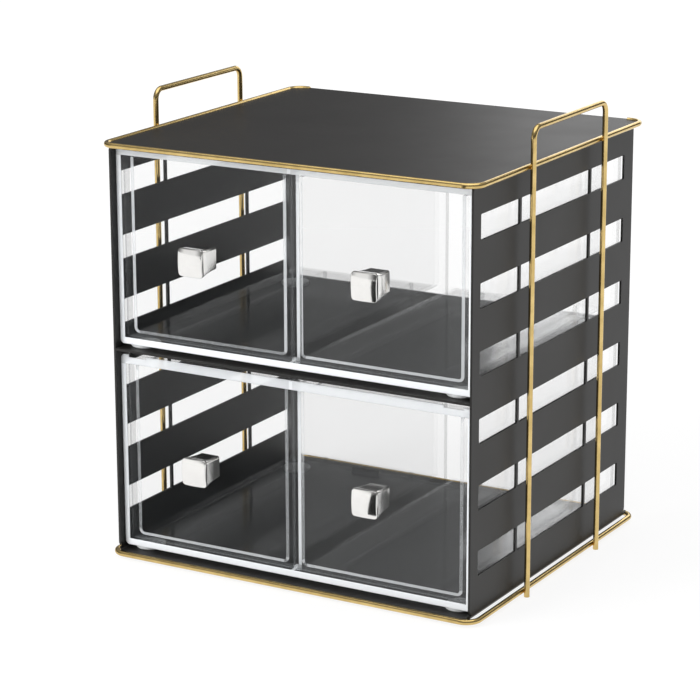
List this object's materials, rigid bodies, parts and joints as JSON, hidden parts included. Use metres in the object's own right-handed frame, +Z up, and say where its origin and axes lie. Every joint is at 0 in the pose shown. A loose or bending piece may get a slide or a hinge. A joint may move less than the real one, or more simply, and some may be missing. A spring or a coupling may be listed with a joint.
{
  "type": "countertop bread display bin",
  "caption": "Black slotted steel cabinet in a gold wire frame with carrying handles, holding stacked clear cases with sliding clear drawers for bread.",
  "frame": {"origin": "middle of the bounding box's footprint, on the worktop", "axes": "+X to the right seen from the front, +Y to the back, +Z up; the drawers slide out along -Y"},
  "size_m": [0.3842, 0.346, 0.418],
  "materials": {
    "gold_wire": "satin gold plating",
    "black_steel": "satin black powder coat",
    "clear_case": "polished clear moulding",
    "clear_drawer": "polished clear moulding",
    "clear_rubber": "translucent",
    "nickel": "polished nickel plating",
    "screw_steel": "zinc plated",
    "nylon": "natural nylon"
  },
  "bodies": {
    "cabinet": {"bottom_ring": "gold_wire", "top_ring": "gold_wire", "left_handle": "gold_wire", "right_handle": "gold_wire", "top_panel": "black_steel", "base_panel": "black_steel", "middle_shelf": "black_steel", "left_side_panel": "black_steel", "right_side_panel": "black_steel", "lower_case": "clear_case", "lower_case_feet": "clear_rubber", "upper_case": "clear_case", "upper_case_feet": "clear_rubber"},
    "lower_left_drawer": {"lower_left_drawer_front": "clear_drawer", "lower_left_tray": "clear_drawer", "lower_left_knob": "nickel", "lower_left_knob_washer": "nylon", "lower_left_knob_screw": "screw_steel"},
    "lower_right_drawer": {"lower_right_drawer_front": "clear_drawer", "lower_right_tray": "clear_drawer", "lower_right_knob": "nickel", "lower_right_knob_washer": "nylon", "lower_right_knob_screw": "screw_steel"},
    "upper_left_drawer": {"upper_left_drawer_front": "clear_drawer", "upper_left_tray": "clear_drawer", "upper_left_knob": "nickel", "upper_left_knob_washer": "nylon", "upper_left_knob_screw": "screw_steel"},
    "upper_right_drawer": {"upper_right_drawer_front": "clear_drawer", "upper_right_tray": "clear_drawer", "upper_right_knob": "nickel", "upper_right_knob_washer": "nylon", "upper_right_knob_screw": "screw_steel"}
  },
  "joints": [
    {"name": "lower_left_slide", "type": "slide", "parent": "cabinet", "child": "lower_left_drawer", "axis": [0, -1, 0], "range_m": [0, 0.2]},
    {"name": "lower_right_slide", "type": "slide", "parent": "cabinet", "child": "lower_right_drawer", "axis": [0, -1, 0], "range_m": [0, 0.2]},
    {"name": "upper_left_slide", "type": "slide", "parent": "cabinet", "child": "upper_left_drawer", "axis": [0, -1, 0], "range_m": [0, 0.2]},
    {"name": "upper_right_slide", "type": "slide", "parent": "cabinet", "child": "upper_right_drawer", "axis": [0, -1, 0], "range_m": [0, 0.2]}
  ]
}
